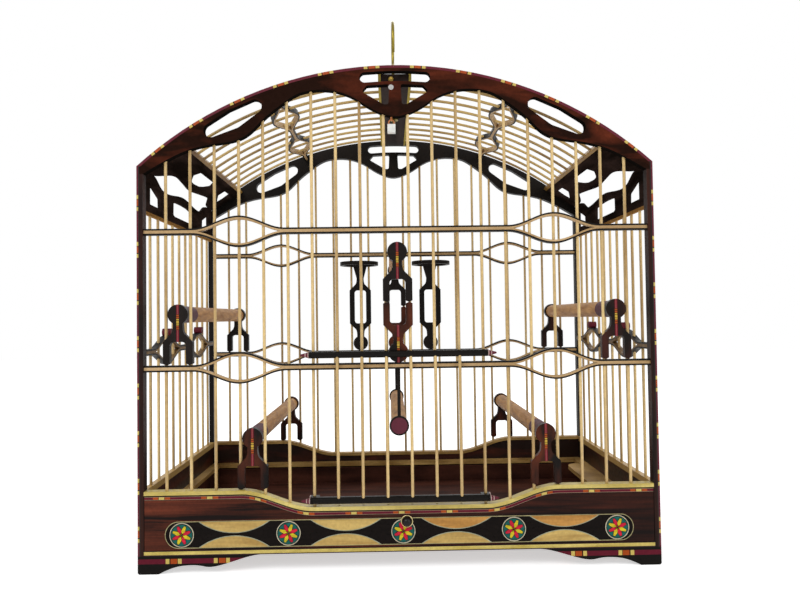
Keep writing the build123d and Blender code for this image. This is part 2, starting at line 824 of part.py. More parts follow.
# Drawer with its tray and turned knob
tray_wall = 3.0
tray_floor = 2.1
tray_low = bottom_top + slip
tray_h = ledge_z - tray_low - 2 * slip
tray_w = inner_w - 3 * slip
tray_back = rear_board_in - 2 * slip - post_d
drawer_back = outer_d - board_t
knob_x = 5.0
knob_z = 39.0
knob_d = 8.0
knob_r = knob_d / 2
stem_r = knob_r / 2
with BuildPart() as drawer_front:
    add(low_panel(front, -board_t, inner_w - slip, tray_low, base_rail_h + slip).part)
    with Locations((knob_x, -outer_d, knob_z)):
        Cylinder(stem_r, board_t, rotation=(90, 0, 0), mode=Mode.SUBTRACT)
with BuildPart() as drawer_tray:
    tray_l = tray_back + drawer_back
    with Locations((0, (tray_back - drawer_back) / 2, tray_low + tray_h / 2)):
        Box(2 * tray_w, tray_l, tray_h)
    with Locations((0, (tray_back - drawer_back) / 2, tray_low + tray_h / 2 + tray_floor)):
        Box(2 * (tray_w - tray_wall), tray_l - 2 * tray_wall, tray_h, mode=Mode.SUBTRACT)
with BuildPart() as drawer_knob:
    with BuildSketch(Plane.XY.offset(knob_z)):
        with BuildLine():
            Line((knob_x, -outer_d + board_t / 2), (knob_x + stem_r, -outer_d + board_t / 2))
            Line((knob_x + stem_r, -outer_d + board_t / 2), (knob_x + stem_r, -outer_d - stem_r))
            Spline(
                (knob_x + stem_r, -outer_d - stem_r),
                (knob_x + knob_r, -outer_d - 2 * stem_r),
                (knob_x, -outer_d - 3 * stem_r),
                tangents=[(1, 0), (-1, 0)],
            )
            Line((knob_x, -outer_d - 3 * stem_r), (knob_x, -outer_d + board_t / 2))
        make_face()
    revolve(axis=Axis((knob_x, 0, knob_z), (0, 1, 0)))

# Hanging hook: a wire crook that turns in the ridge board
hook_h = 90.0
loop_d = 44.0
stem_share = 0.36
tail_angle = 215
loop_r = loop_d / 2
hook_low = ridge_top - ridge_t - 2 * wire_d
loop_z = ridge_top + hook_h - loop_r - wire_r
nut_share = 1.5
with BuildPart() as hook:
    with BuildLine(Plane.YZ) as crook:
        Line((0, hook_low), (0, ridge_top + hook_h * stem_share))
        Spline((0, ridge_top + hook_h * stem_share), (loop_r, loop_z), tangents=[(0, 1), (0, 1)])
        CenterArc((0, loop_z), loop_r, 0, tail_angle)
    with BuildSketch(Plane.XY.offset(hook_low)):
        Circle(wire_r)
    sweep(path=crook.line)
    with Locations((0, 0, ridge_top - ridge_t - rest - wire_r / 2)):
        Cylinder(nut_share * wire_d, wire_r)
    with Locations((0, 0, ridge_top + rest + wire_r / 2)):
        Cylinder(nut_share * wire_d, wire_r)

nodes = {
    "front_arch": front_arch,
    "rear_arch": rear_arch,
    "arch_banding": arch_banding,
    "arch_fittings": arch_fittings,
    "posts_front": posts_front,
    "posts_rear": posts_rear,
    "front_feet": front_feet,
    "rear_feet": rear_feet,
    "bottom_frame": bottom_frame,
    "base_side_left": base_side_left,
    "base_side_right": base_side_right,
    "rear_board": rear_board,
    "base_rail_front": base_rail_front,
    "base_rail_rear": base_rail_rear,
    "ledge_frame": ledge_frame,
    "mid_rail_front": mid_rail_front,
    "mid_rail_rear": mid_rail_rear,
    "upper_rail_front": upper_rail_front,
    "upper_rail_rear": upper_rail_rear,
    "side_rail_left": side_rail_left,
    "side_rail_right": side_rail_right,
    "roof_rail_left": roof_rail_left,
    "roof_rail_right": roof_rail_right,
    "eave_panel_left": eave_panel_left,
    "eave_panel_right": eave_panel_right,
    "side_fret_left": side_fret_left,
    "side_fret_right": side_fret_right,
    "roof_strip_left": roof_strip_left,
    "roof_strip_right": roof_strip_right,
    "ridge_board": ridge_board,
    "front_bars_left": front_bars_left,
    "front_bars_right": front_bars_right,
    "front_bars_over_door": front_bars_over_door,
    "rear_bars": rear_bars,
    "left_bars": left_bars,
    "right_bars": right_bars,
    "roof_bars_left": roof_bars_left,
    "roof_bars_right": roof_bars_right,
    "cup_holder_left": cup_holder_left,
    "cup_holder_right": cup_holder_right,
    "swing_forks": swing_forks,
    "centre_forks": centre_forks,
    "centre_perch": centre_perch,
    "upper_forks_left": upper_forks_left,
    "upper_perch_left": upper_perch_left,
    "upper_forks_right": upper_forks_right,
    "upper_perch_right": upper_perch_right,
    "lower_forks_left": lower_forks_left,
    "lower_perch_left": lower_perch_left,
    "lower_forks_right": lower_forks_right,
    "lower_perch_right": lower_perch_right,
    "door_rails": door_rails,
    "door_bars": door_bars,
    "drawer_front": drawer_front,
    "drawer_tray": drawer_tray,
    "drawer_knob": drawer_knob,
    "swing_hangers": swing_hangers,
    "swing_perch": swing_perch,
    "hook": hook,
}
for node_name, node in nodes.items():
    save(node, node_name)
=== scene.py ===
# %% [markdown]
# A wooden songbird cage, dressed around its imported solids. The solids already have the true shapes
# of arches, rails, bars, perches, door and drawer, so they stay. This lesson adds what they can't
# carry: a camera, light, finishes of wood, bamboo and brass, and the inlay work of the drawer.

# %% Load the frame
from math import asin, cos, pi, radians, sin, sqrt

import bmesh
import bpy
from mathutils import Matrix, Vector


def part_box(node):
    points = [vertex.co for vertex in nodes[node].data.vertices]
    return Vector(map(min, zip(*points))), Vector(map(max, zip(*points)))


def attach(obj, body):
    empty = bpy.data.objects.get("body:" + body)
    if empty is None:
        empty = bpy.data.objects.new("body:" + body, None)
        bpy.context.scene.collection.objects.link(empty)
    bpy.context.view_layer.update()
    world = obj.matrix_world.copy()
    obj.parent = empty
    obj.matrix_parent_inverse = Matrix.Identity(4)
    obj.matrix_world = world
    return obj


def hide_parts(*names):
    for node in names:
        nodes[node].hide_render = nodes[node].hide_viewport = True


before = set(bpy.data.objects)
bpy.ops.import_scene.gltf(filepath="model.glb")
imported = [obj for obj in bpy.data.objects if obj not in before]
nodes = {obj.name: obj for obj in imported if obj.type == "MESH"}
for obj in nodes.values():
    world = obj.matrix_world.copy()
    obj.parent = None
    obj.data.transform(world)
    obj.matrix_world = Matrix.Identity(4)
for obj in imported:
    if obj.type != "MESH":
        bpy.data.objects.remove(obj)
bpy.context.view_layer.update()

# %% [markdown]
# The camera stands in front of the cage, a little left of its middle and turned slightly to the
# right and up. It could be aimed with a constraint, but here its three axes are worked out from
# those turns, so that each turn can be read and changed.

# %% Camera
image_w = 800
focal_px = 677.9
camera_place = Vector((-0.0074, -0.669, 0.2044))
yaw = radians(0.95)
pitch = radians(1.475)
roll = radians(-0.78)

forward = Vector((sin(yaw) * cos(pitch), cos(yaw) * cos(pitch), sin(pitch)))
level_right = Vector((cos(yaw), -sin(yaw), 0))
level_up = level_right.cross(forward)
right = level_right * cos(roll) + level_up * sin(roll)
up = level_up * cos(roll) - level_right * sin(roll)
axes = Matrix((right, up, -forward)).transposed().to_4x4()

camera_data = bpy.data.cameras.new("camera")
camera_data.sensor_width = 36
camera_data.lens = camera_data.sensor_width * focal_px / image_w
camera_data.clip_start = 0.01
camera = bpy.data.objects.new("camera", camera_data)
camera.matrix_world = Matrix.Translation(camera_place) @ axes
bpy.context.scene.collection.objects.link(camera)
bpy.context.scene.camera = camera
bpy.context.scene.view_settings.view_transform = "Standard"
print("lens", round(camera_data.lens, 2))

# %% [markdown]
# The cage stands in even light before a white backdrop. One bright world could do both jobs, but
# it would wash out the dark woods. So the world has two strengths: a soft one that lights the cage,
# and a white one that is only seen, by the camera, in polished metal and through clear pieces.

# %% World
soft_strength = 0.5
white_strength = 1.0
world = bpy.data.worlds.new("studio")
bpy.context.scene.world = world
world.use_nodes = True
world_nodes = world.node_tree.nodes
world_links = world.node_tree.links
world_nodes.clear()


def background(strength):
    node = world_nodes.new("ShaderNodeBackground")
    node.inputs["Color"].default_value = (1, 1, 1, 1)
    node.inputs["Strength"].default_value = strength
    return node.outputs[0]


light_path = world_nodes.new("ShaderNodeLightPath")
seen = light_path.outputs["Is Camera Ray"]
for ray in ("Is Transmission Ray", "Is Glossy Ray"):
    either = world_nodes.new("ShaderNodeMath")
    either.operation = "MAXIMUM"
    world_links.new(seen, either.inputs[0])
    world_links.new(light_path.outputs[ray], either.inputs[1])
    seen = either.outputs[0]
backdrop = world_nodes.new("ShaderNodeMixShader")
world_links.new(seen, backdrop.inputs[0])
world_links.new(background(soft_strength), backdrop.inputs[1])
world_links.new(background(white_strength), backdrop.inputs[2])
world_out = world_nodes.new("ShaderNodeOutputWorld")
world_links.new(backdrop.outputs[0], world_out.inputs[0])
print("world nodes", len(world_nodes))

# %% [markdown]
# The table is one large pale square under the feet. It is matt, so the cage isn't mirrored in it,
# and it glows a little, so no line shows where it ends. The cage's soft shadow still falls on it.

# %% Floor
floor_half = 3.0
floor_grey = 0.93
floor_glow = 0.55
floor_mesh = bmesh.new()
bmesh.ops.create_grid(floor_mesh, x_segments=1, y_segments=1, size=floor_half)
floor_data = bpy.data.meshes.new("floor")
floor_mesh.to_mesh(floor_data)
floor_mesh.free()
floor = bpy.data.objects.new("floor", floor_data)
bpy.context.scene.collection.objects.link(floor)

floor_paint = bpy.data.materials.new("floor_paint")
floor_paint.use_nodes = True
floor_shader = floor_paint.node_tree.nodes["Principled BSDF"]
floor_shader.inputs["Base Color"].default_value = (floor_grey, floor_grey, floor_grey, 1)
floor_shader.inputs["Roughness"].default_value = 0.9
floor_shader.inputs["Specular IOR Level"].default_value = 0.0
floor_shader.inputs["Emission Color"].default_value = (1, 1, 1, 1)
floor_shader.inputs["Emission Strength"].default_value = floor_glow
floor_data.materials.append(floor_paint)
print("floor side", 2 * floor_half)

# %% [markdown]
# Three square lamps light the cage: a key lamp from the left, a weaker one from the right that
# opens its shadows, and one behind that draws the roof. Large lamps give soft edges to shadows,
# which suits bars that would otherwise throw a hard cage of lines.

# %% Lamps
cage_middle = Vector((0, 0, 0.22))


def add_lamp(name, place, size, power):
    data = bpy.data.lights.new(name, "AREA")
    data.shape = "SQUARE"
    data.size = size
    data.energy = power
    lamp = bpy.data.objects.new(name, data)
    lamp.location = place
    lamp.rotation_euler = (cage_middle - Vector(place)).to_track_quat("-Z", "Y").to_euler()
    bpy.context.scene.collection.objects.link(lamp)


add_lamp("key", (-0.9, -1.3, 1.5), 0.9, 14)
add_lamp("fill", (1.3, -1.0, 0.9), 1.2, 7)
add_lamp("back", (0.2, 1.4, 1.3), 1.2, 8)
print("lamps", len(bpy.data.lights))

# %% [markdown]
# Wood colours are easiest to choose as the hex codes of a paint program. A shader wants linear
# numbers, so a helper turns one into the other. The colours that several pieces share get names.

# %% Colours
def hexa(code):
    parts = [int(code[i:i + 2], 16) / 255 for i in (0, 2, 4)]
    return tuple(p / 12.92 if p <= 0.04045 else ((p + 0.055) / 1.055) ** 2.4 for p in parts)


maroon = hexa("581524")
orange = hexa("9a4218")
cream = hexa("bca658")
black = hexa("120f0d")
rosewood_dark = hexa("21130e")
rosewood_red = hexa("58281a")
yellow_light = hexa("cfbc6e")
yellow_dark = hexa("a89342")
print("maroon", [round(part, 3) for part in maroon])

# %% [markdown]
# Each finish is a small tree of shader nodes. It could be clicked together by hand, but the same
# few steps come back in every wood, so they are written once. The first helper starts a tree, gives
# the x, y and z of a point on the cage in metres, and adds sums and mixes of colours.

# %% Node trees
finishes = {}


class Tree:
    def __init__(self, name, roughness, coat=0.0, shine=0.35):
        self.material = bpy.data.materials.new(name)
        self.material.use_nodes = True
        self.tree = self.material.node_tree
        self.shader = self.tree.nodes["Principled BSDF"]
        self.shader.inputs["Roughness"].default_value = roughness
        self.shader.inputs["Specular IOR Level"].default_value = shine
        self.shader.inputs["Coat Weight"].default_value = coat
        self.shader.inputs["Coat Roughness"].default_value = 0.08
        self.place = self.tree.nodes.new("ShaderNodeTexCoord").outputs["Object"]
        split = self.tree.nodes.new("ShaderNodeSeparateXYZ")
        self.tree.links.new(self.place, split.inputs[0])
        self.x, self.y, self.z = split.outputs
        finishes[name] = self

    def feed(self, socket, value):
        if isinstance(value, tuple):
            socket.default_value = (*value, 1)
        elif isinstance(value, (int, float)):
            socket.default_value = value
        else:
            self.tree.links.new(value, socket)

    def sum(self, operation, a, b=0.0):
        node = self.tree.nodes.new("ShaderNodeMath")
        node.operation = operation
        self.feed(node.inputs[0], a)
        self.feed(node.inputs[1], b)
        return node.outputs[0]

    def mix(self, factor, a, b):
        node = self.tree.nodes.new("ShaderNodeMix")
        node.data_type = "RGBA"
        for socket, value in zip((node.inputs[0], node.inputs[6], node.inputs[7]), (factor, a, b)):
            self.feed(socket, value)
        return node.outputs[2]

    def between(self, value, low, high):
        above = self.sum("GREATER_THAN", value, low)
        below = self.sum("LESS_THAN", value, high)
        return self.sum("MULTIPLY", above, below)


print("trees", len(finishes))

# %% [markdown]
# Wood is drawn by noise. Stretched along the board, coarse noise becomes grain between a dark and a
# light tone. Fine noise gives every finish its pores, which change tone, roughness and relief a
# little. A picture of wood could do the same, but noise has no seams and fits any board.

# %% Wood helpers
pore_scale = 400.0
pore_depth = 0.0001
pore_strength = 0.25
pore_range = (0.3, 0.7)
pore_tones = (0.88, 1.1)
smoother = 0.05
rougher = 0.08
print("pore depth in mm", 1000 * pore_depth)


class Finish(Tree):
    def noise(self, vector, scale, detail, distortion=0.0):
        node = self.tree.nodes.new("ShaderNodeTexNoise")
        node.inputs["Scale"].default_value = scale
        node.inputs["Detail"].default_value = detail
        node.inputs["Distortion"].default_value = distortion
        self.tree.links.new(vector, node.inputs["Vector"])
        return node.outputs[0]

    def spread(self, value, from_low, from_high, to_low=0.0, to_high=1.0):
        node = self.tree.nodes.new("ShaderNodeMapRange")
        node.inputs["From Min"].default_value = from_low
        node.inputs["From Max"].default_value = from_high
        node.inputs["To Min"].default_value = to_low
        node.inputs["To Max"].default_value = to_high
        self.tree.links.new(value, node.inputs[0])
        return node.outputs[0]

    def grain(self, dark, light, stretch, scale=60.0, low=0.35, high=0.7):
        mapping = self.tree.nodes.new("ShaderNodeMapping")
        mapping.inputs["Scale"].default_value = stretch
        self.tree.links.new(self.place, mapping.inputs[0])
        streaks = self.noise(mapping.outputs[0], scale, 6, 0.6)
        return self.mix(self.spread(streaks, low, high), dark, light)

    def colour(self, socket):
        pores = self.noise(self.place, pore_scale, 4)
        tone = self.tree.nodes.new("ShaderNodeHueSaturation")
        self.tree.links.new(self.spread(pores, *pore_range, *pore_tones), tone.inputs["Value"])
        self.tree.links.new(socket, tone.inputs["Color"])
        self.tree.links.new(tone.outputs[0], self.shader.inputs["Base Color"])
        middle = self.shader.inputs["Roughness"].default_value
        roughness = self.spread(pores, *pore_range, middle - smoother, middle + rougher)
        self.tree.links.new(roughness, self.shader.inputs["Roughness"])
        relief = self.tree.nodes.new("ShaderNodeBump")
        relief.inputs["Strength"].default_value = pore_strength
        relief.inputs["Distance"].default_value = pore_depth
        self.tree.links.new(pores, relief.inputs["Height"])
        self.tree.links.new(relief.outputs[0], self.shader.inputs["Normal"])

    def veneer(self, code, stretch=(0.4, 1, 2), scale=250.0):
        dark, light = (tuple(share * part for part in hexa(code)) for share in (0.75, 1.15))
        self.colour(self.grain(dark, light, stretch, scale))

    def bands(self, value, period, stops):
        turn = self.sum("FRACT", self.sum("DIVIDE", value, period))
        ramp = self.tree.nodes.new("ShaderNodeValToRGB")
        ramp.color_ramp.interpolation = "CONSTANT"
        while len(ramp.color_ramp.elements) < len(stops):
            ramp.color_ramp.elements.new(0.5)
        for element, (where, colour) in zip(ramp.color_ramp.elements, stops):
            element.position = where
            element.color = (*colour, 1)
        self.tree.links.new(turn, ramp.inputs[0])
        return ramp.outputs[0]


def dress(finish, *names):
    for name in names:
        mesh = nodes[name].data
        mesh.materials.clear()
        mesh.materials.append(finish.material)
        for face in mesh.polygons:
            face.material_index = 0
    print(finish.material.name, "on", len(names), "nodes")


# %% [markdown]
# Marquetry banding is a ribbon of dyed veneers: long maroon stretches with a short group of cream,
# orange and cream. Each veneer could be a piece of its own, but there are hundreds, and a repeating
# ramp along the ribbon's own length draws them all. A group is listed as colours and lengths.

# %% Groups of veneers
band_period = 0.0384
edge_group = [(cream, 0.0031), (black, 0.0004), (orange, 0.0055), (black, 0.0008), (cream, 0.0031)]


def middle_group(pieces, period):
    total = sum(length for colour, length in pieces)
    stops = [(0.0, maroon)]
    place = (period - total) / 2
    for colour, length in pieces:
        stops.append((place / period, colour))
        place += length
    stops.append((place / period, maroon))
    return stops


print("group length", round(sum(length for colour, length in edge_group), 4))

# %% [markdown]
# The banding runs over the arch and down both posts. Along the arch, its length is the angle about
# the arch's centre times the radius, and below the shoulder it is the height. The two lengths meet
# at the shoulder. The ribbon's inner face on the posts is plain black.

# %% Banding of the arch and posts
shoulder_z = 0.331
arch_top = 0.413
half_width = 0.2125
post_shift = 0.0136
ribbon_thick = 0.0014
arch_rise = arch_top - shoulder_z
arch_radius = (half_width ** 2 + arch_rise ** 2) / (2 * arch_rise)
arch_centre = arch_top - arch_radius
half_arc = asin(half_width / arch_radius) * arch_radius

banding = Finish("marquetry banding", 0.35, 0.05, 0.2)
rise = banding.sum("SUBTRACT", banding.z, arch_centre)
along_arch = banding.sum("MULTIPLY", banding.sum("ARCTAN2", banding.x, rise), arch_radius)
along_post = banding.sum("ADD", banding.sum("SUBTRACT", shoulder_z, banding.z), half_arc - post_shift)
on_arch = banding.sum("GREATER_THAN", banding.z, shoulder_z)
on_post = banding.sum("SUBTRACT", 1.0, on_arch)
arch_part = banding.sum("MULTIPLY", banding.sum("ABSOLUTE", along_arch), on_arch)
post_part = banding.sum("MULTIPLY", along_post, on_post)
run_length = banding.sum("ADD", arch_part, post_part)
ribbon = banding.bands(run_length, band_period, middle_group(edge_group, band_period))
inner = banding.sum("LESS_THAN", banding.sum("ABSOLUTE", banding.x), half_width - ribbon_thick)
banding.colour(banding.mix(banding.sum("MULTIPLY", inner, on_post), ribbon, black))
dress(banding, "arch_banding")
print("band radius", round(arch_radius, 4))

# %% [markdown]
# The front arch is a rosewood board, sawn through with slots and windows. Its face has long sideways
# streaks, and its sawn edges are black. A second material could mark the edges, but a mask is
# simpler: whatever lies behind the face is black. It has no gloss, which would turn the edges grey.

# %% Front arch
hair = 0.00005
front_wood = Finish("rosewood front", 0.45, 0.0, 0.0)
on_face = front_wood.sum("LESS_THAN", front_wood.y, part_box("front_arch")[0].y + hair)
streaks = front_wood.grain(rosewood_dark, rosewood_red, (0.35, 1, 1.6), 40, 0.45, 0.75)
front_wood.colour(front_wood.mix(on_face, black, streaks))
dress(front_wood, "front_arch")

# %% [markdown]
# The front posts are a darker rosewood with its grain running up. The rear frame, the cup holders
# and the swing's hangers are lacquered black, with a trace of brown so that they stay wood.

# %% Posts and black wood
post_wood = Finish("rosewood posts", 0.45, 0.0, 0.1)
post_wood.colour(post_wood.grain(hexa("140c0a"), hexa("38190f"), (2, 2, 0.2), 60, 0.4, 0.8))
dress(post_wood, "posts_front")

black_wood = Finish("black lacquer", 0.45, 0.0, 0.08)
black_wood.colour(black_wood.grain(black, hexa("1c1714"), (1, 1, 1), 30))
dress(black_wood, "rear_arch", "posts_rear", "rear_feet", "cup_holder_left", "cup_holder_right")
dress(black_wood, "swing_hangers")

# %% [markdown]
# The eave and side panels are thin fretwork boards of a very dark brown. A side panel has a light
# strip along its foot, and the ridge board under the roof bars has a yellow edge on either side.
# These strips belong to the same solids, so the height or the distance from the middle picks them.

# %% Fretwork and ridge
fret_dark = hexa("18120f")
fret_light = hexa("372a26")
fret_strip = 0.0024
ridge_edge = 0.0118
fret_wood = Finish("fretwork wood", 0.6, 0.0, 0.0)
fret_wood.colour(fret_wood.grain(fret_dark, fret_light, (1.5, 0.3, 1.5), 50))
dress(fret_wood, "eave_panel_left", "eave_panel_right")

side_fret = Finish("side fretwork", 0.6, 0.0, 0.0)
strip = side_fret.sum("LESS_THAN", side_fret.z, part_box("side_fret_left")[0].z + fret_strip)
dark_part = side_fret.grain(fret_dark, fret_light, (1.5, 0.3, 1.5), 50)
side_fret.colour(side_fret.mix(strip, dark_part, hexa("8a6538")))
dress(side_fret, "side_fret_left", "side_fret_right")

ridge_wood = Finish("ridge board", 0.6, 0.0, 0.04)
edge_part = ridge_wood.sum("GREATER_THAN", ridge_wood.sum("ABSOLUTE", ridge_wood.x), ridge_edge)
board_part = ridge_wood.grain(fret_dark, fret_light, (2, 0.2, 2), 50)
ridge_wood.colour(ridge_wood.mix(edge_part, board_part, yellow_dark))
dress(ridge_wood, "ridge_board")

# %% [markdown]
# The base is a box of rosewood boards. The grain follows each board's length: from front to rear on
# the sides, sideways on the rear board. The top of each side is a pale rail, and the drawer's tray
# is a duller brown board.

# %% Base and tray
side_rail_low = 0.0608
base_side = Finish("base side", 0.4, 0.05, 0.2)
top_part = base_side.sum("GREATER_THAN", base_side.z, side_rail_low)
board_part = base_side.grain(rosewood_dark, rosewood_red, (1, 0.3, 1.5), 45, 0.45, 0.8)
base_side.colour(base_side.mix(top_part, board_part, hexa("bc9a5e")))
dress(base_side, "base_side_left", "base_side_right")

rear_wood = Finish("rear board", 0.4, 0.05, 0.2)
rear_wood.colour(rear_wood.grain(rosewood_dark, rosewood_red, (0.3, 1, 1.5), 45, 0.45, 0.8))
dress(rear_wood, "rear_board")

tray_wood = Finish("tray wood", 0.6, 0.0, 0.04)
tray_wood.colour(tray_wood.grain(hexa("2e1914"), hexa("553126"), (0.3, 1.5, 1), 40))
dress(tray_wood, "drawer_tray")

# %% [markdown]
# The front feet are black, with a band of the same veneers let in under the base. The groups on the
# base are spaced a little wider than on the arch. The band is the part of the foot between two
# heights, and its pattern runs outwards from the middle of the cage.

# %% Feet
base_period = 0.0388
foot_band_low = 0.0082
foot_band_high = 0.0122
foot_start = 0.009
foot_band = Finish("feet", 0.4, 0.0, 0.06)
band_mask = foot_band.between(foot_band.z, foot_band_low, foot_band_high)
foot_run = foot_band.sum("SUBTRACT", foot_band.sum("ABSOLUTE", foot_band.x), foot_start)
foot_pattern = foot_band.bands(foot_run, base_period, middle_group(edge_group, base_period))
foot_band.colour(foot_band.mix(band_mask, black, foot_pattern))
dress(foot_band, "front_feet")

# %% [markdown]
# The pale rails are sandwiches: light wood between two black veneers. The black line follows the
# outer edge, also round the lens-shaped eyes. It could be a thin piece of its own, but the finish
# can repeat the cosine curve that shapes the rail and blacken all that lies near that edge.

# %% Helper for rails with black edge lines
rail_half_height = 0.0026
eye_half_length = 0.038
eye_half_height = 0.0129
line_width = 0.0014
rail_wood = hexa("bfa27a")
rail_shade = hexa("9c7e56")
print("eye height in mm", 2000 * eye_half_height)


def rail_finish(name, along_axis, eye_place, across, offset, *names,
                bead_low=None, shade=rail_shade, light=rail_wood):
    finish = Finish(name, 0.45, 0.0, 0.1)
    along = {"x": finish.x, "y": finish.y}[along_axis]
    dot = finish.tree.nodes.new("ShaderNodeVectorMath")
    dot.operation = "DOT_PRODUCT"
    dot.inputs[1].default_value = across
    finish.tree.links.new(finish.place, dot.inputs[0])
    reach = finish.sum("ABSOLUTE", finish.sum("SUBTRACT", dot.outputs["Value"], offset))
    from_eye = finish.sum("SUBTRACT", finish.sum("ABSOLUTE", along), eye_place)
    apart = finish.sum("ABSOLUTE", finish.sum("DIVIDE", from_eye, eye_half_length))
    turn = finish.sum("MINIMUM", apart, 1.0)
    swell = finish.sum("ADD", finish.sum("COSINE", finish.sum("MULTIPLY", turn, pi)), 1.0)
    hump = finish.sum("MULTIPLY", swell, (eye_half_height - rail_half_height) / 2)
    edge = finish.sum("ADD", hump, rail_half_height - line_width)
    line = finish.sum("GREATER_THAN", reach, edge)
    stretch = (0.2, 1, 1) if along_axis == "x" else (1, 0.2, 1)
    lined = finish.mix(line, finish.grain(shade, light, stretch, 60), black)
    if bead_low:
        lined = finish.mix(finish.sum("GREATER_THAN", reach, bead_low), lined, hexa("5a1c26"))
    finish.colour(lined)
    dress(finish, *names)


# %% [markdown]
# Front and rear rails lie at two heights. The side rails are darker and carry red beads, which are
# all that reaches beyond the eye. The roof rails lean with the roof, so their height is measured
# along a leaning line, found from the arch's circle.

# %% Rails
front_eye = 0.130
side_eye = 0.050
mid_z = 0.165004
upper_z = 0.276993
side_z = 0.177989
upright = (0, 0, 1)
rail_finish("mid rails", "x", front_eye, upright, mid_z, "mid_rail_front", "mid_rail_rear")
rail_finish("upper rails", "x", front_eye, upright, upper_z, "upper_rail_front", "upper_rail_rear")
rail_finish("side rails", "y", side_eye, upright, side_z, "side_rail_left", "side_rail_right",
            bead_low=eye_half_height, shade=hexa("5c452e"), light=hexa("8d7148"))

roof_drop = 0.0073
roof_x = 0.100
roof_radius = arch_radius - roof_drop
roof_z = arch_centre + sqrt(roof_radius ** 2 - roof_x ** 2)
roof_tilt = asin(roof_x / roof_radius)
for side, name in ((1, "roof_rail_right"), (-1, "roof_rail_left")):
    slope = (side * cos(roof_tilt), 0, -sin(roof_tilt))
    offset = slope[0] * side * roof_x + slope[2] * roof_z
    rail_finish(name.replace("_", " "), "y", side_eye, slope, offset, name)

# %% [markdown]
# The base's curved front rail is yellow wood, the rear rail and the ledge inside are tan, and the
# roof strips are a browner wood. The bottom frame is dark with one yellow strip in its front.

# %% Light strips
strip_low = 0.0153
strip_high = 0.018
yellow_wood = Finish("yellow wood", 0.45, 0.15)
yellow_wood.colour(yellow_wood.grain(yellow_dark, yellow_light, (0.4, 0.4, 2), 50))
dress(yellow_wood, "base_rail_front")

tan_wood = Finish("tan rails", 0.5, 0.0, 0.15)
tan_wood.colour(tan_wood.grain(hexa("8a6a3a"), hexa("c4a062"), (0.4, 0.4, 2), 50))
dress(tan_wood, "base_rail_rear", "ledge_frame")

strip_wood = Finish("roof strips", 0.5, 0.0, 0.15)
strip_wood.colour(strip_wood.grain(hexa("6a4a24"), hexa("a07c3c"), (1, 0.2, 1), 60))
dress(strip_wood, "roof_strip_left", "roof_strip_right")

bottom_wood = Finish("bottom strip", 0.45, 0.0, 0.2)
pale = bottom_wood.between(bottom_wood.z, strip_low, strip_high)
pale_wood = bottom_wood.grain(yellow_dark, yellow_light, (0.4, 0.4, 2), 50)
bottom_wood.colour(bottom_wood.mix(pale, hexa("2a1216"), pale_wood))
dress(bottom_wood, "bottom_frame")

# %% [markdown]
# The bars are bamboo, split, drawn round and polished. The tone drifts along a bar, so the noise is
# stretched along it: upwards for the bars that stand, sideways and up for those that bend over the
# roof. The roof bars are seen from below, so they get a darker, browner copy of the bamboo: painted
# shade.

# %% Bars
bamboo = Finish("bamboo", 0.35, 0.3)
bamboo.colour(bamboo.grain(hexa("8f6d3a"), hexa("d0b37a"), (3, 3, 0.15), 40, 0.3, 0.6))
dress(bamboo, "front_bars_left", "front_bars_right", "front_bars_over_door", "rear_bars")
dress(bamboo, "left_bars", "right_bars", "door_bars")

# Painted shade: a darker, browner copy of the bamboo for the roof bars seen from below.
shaded_roof_bamboo = Finish("shaded roof bamboo", 0.4, 0.1)
shaded_roof_bamboo.colour(shaded_roof_bamboo.grain(hexa("77592c"), hexa("bb9d60"), (0.3, 3, 0.3), 40, 0.3, 0.6))
dress(shaded_roof_bamboo, "roof_bars_left", "roof_bars_right")

# %% [markdown]
# Perches are turned sticks of light brown wood, left rough for the bird's feet. The front end of a
# perch wears a dark red ferrule, and the swing's perch a red cap with an orange ring behind it. They
# are parts of the same round stick, so the distance from its front end picks the colour.

# %% Perches and swing
perch_light = hexa("c4945a")
perch_dark = hexa("8f6032")
ferrule_length = 0.0301
cap_length = 0.003
ring_length = 0.004
perch_wood = Finish("perch wood", 0.6, 0.0, 0.25)
ferrule_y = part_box("upper_perch_left")[0].y + ferrule_length
ferrule = perch_wood.sum("LESS_THAN", perch_wood.y, ferrule_y)
turned = perch_wood.grain(perch_dark, perch_light, (2.5, 0.5, 2.5), 90, 0.3, 0.7)
perch_wood.colour(perch_wood.mix(ferrule, turned, hexa("4a1a28")))
dress(perch_wood, "centre_perch", "upper_perch_left", "upper_perch_right")
dress(perch_wood, "lower_perch_left", "lower_perch_right")

swing_wood = Finish("swing perch", 0.6, 0.0, 0.25)
cap_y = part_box("swing_perch")[0].y + cap_length
cap = swing_wood.sum("LESS_THAN", swing_wood.y, cap_y)
ring = swing_wood.between(swing_wood.y, cap_y, cap_y + ring_length)
turned = swing_wood.grain(perch_dark, perch_light, (2.5, 0.5, 2.5), 90, 0.3, 0.7)
swing_wood.colour(swing_wood.mix(cap, swing_wood.mix(ring, turned, orange), hexa("5a2030")))
dress(swing_wood, "swing_perch")

# %% [markdown]
# A fork is a flat piece that holds a perch and rides on two bars. A narrow inlay runs down its
# front: crimson stripes at both ends, and in the middle small cells that turn from orange to yellow.
# The inlay is a mask about the fork's middle line, and its colours depend on the distance from the
# inlay's middle, so it looks the same whichever way up the fork is.

# %% Helper for forks
inlay_half = 0.0145
inlay_side = 0.001
middle_side = 0.0003
cell_length = 0.0016
cell_fill = 0.7
warm_share = 0.18
stripe_share = 0.45
print("inlay length in mm", 2000 * inlay_half)


